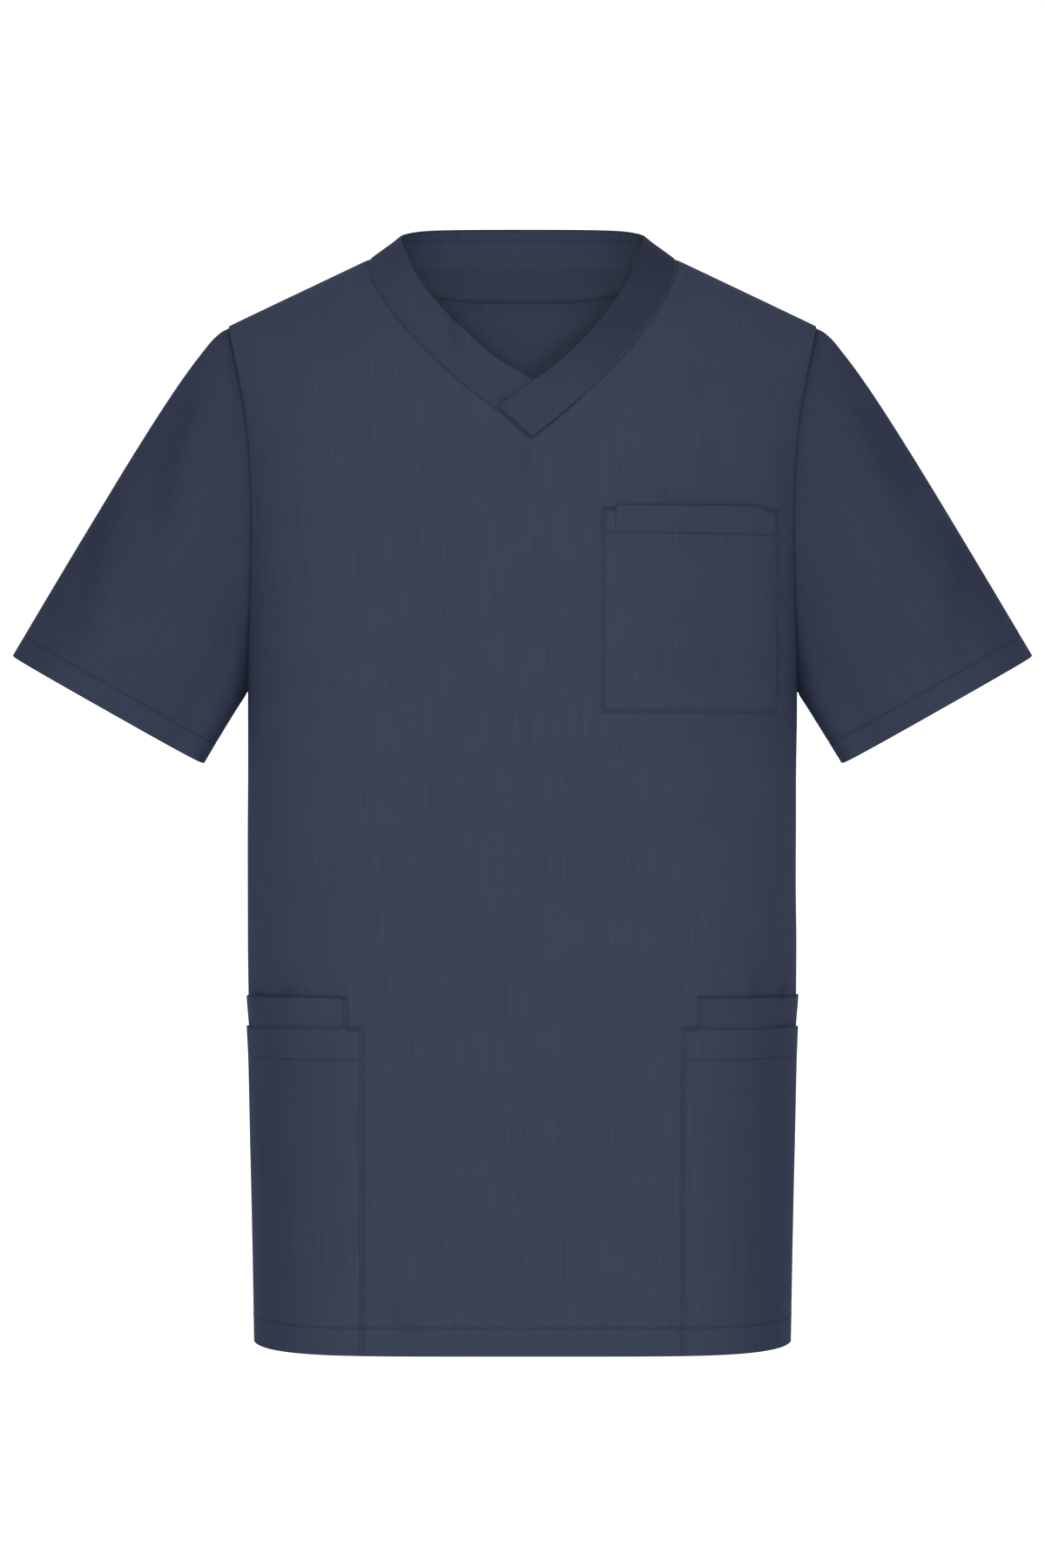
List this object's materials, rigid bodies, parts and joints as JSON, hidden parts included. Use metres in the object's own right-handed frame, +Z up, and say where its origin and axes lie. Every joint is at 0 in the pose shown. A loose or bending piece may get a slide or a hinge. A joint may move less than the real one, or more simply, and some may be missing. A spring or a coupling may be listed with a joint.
{
  "type": "medical scrub top, worn form with no wearer",
  "caption": "Navy short-sleeved scrub top with a lapped V neckband, a chest pocket and layered lower pockets, filled out as when worn and hollow inside.",
  "frame": {"origin": "midway between the two neck points, where the shoulder seams meet the neckband and the top hangs from the shoulders", "axes": "+Z up towards the neck, -Y the way the front faces, +X the wearer's left"},
  "size_m": [0.724, 0.2534, 0.7941],
  "materials": {
    "cloth": "matt plain-woven poly-cotton with fine vertical slubs, navy",
    "cloth_inside": "the wrong side of the same cloth",
    "thread": "matt sewing thread in the cloth's colour"
  },
  "bodies": {
    "root": {"front_panel": "cloth", "back_panel": "cloth", "sleeve_right": "cloth", "sleeve_left": "cloth", "neckband_right": "cloth", "neckband_left": "cloth", "neckband_back": "cloth", "back_facing": "cloth_inside", "chest_pocket": "cloth", "inner_pocket_right": "cloth", "inner_pocket_left": "cloth", "outer_pocket_right": "cloth", "outer_pocket_left": "cloth"}
  },
  "joints": []
}
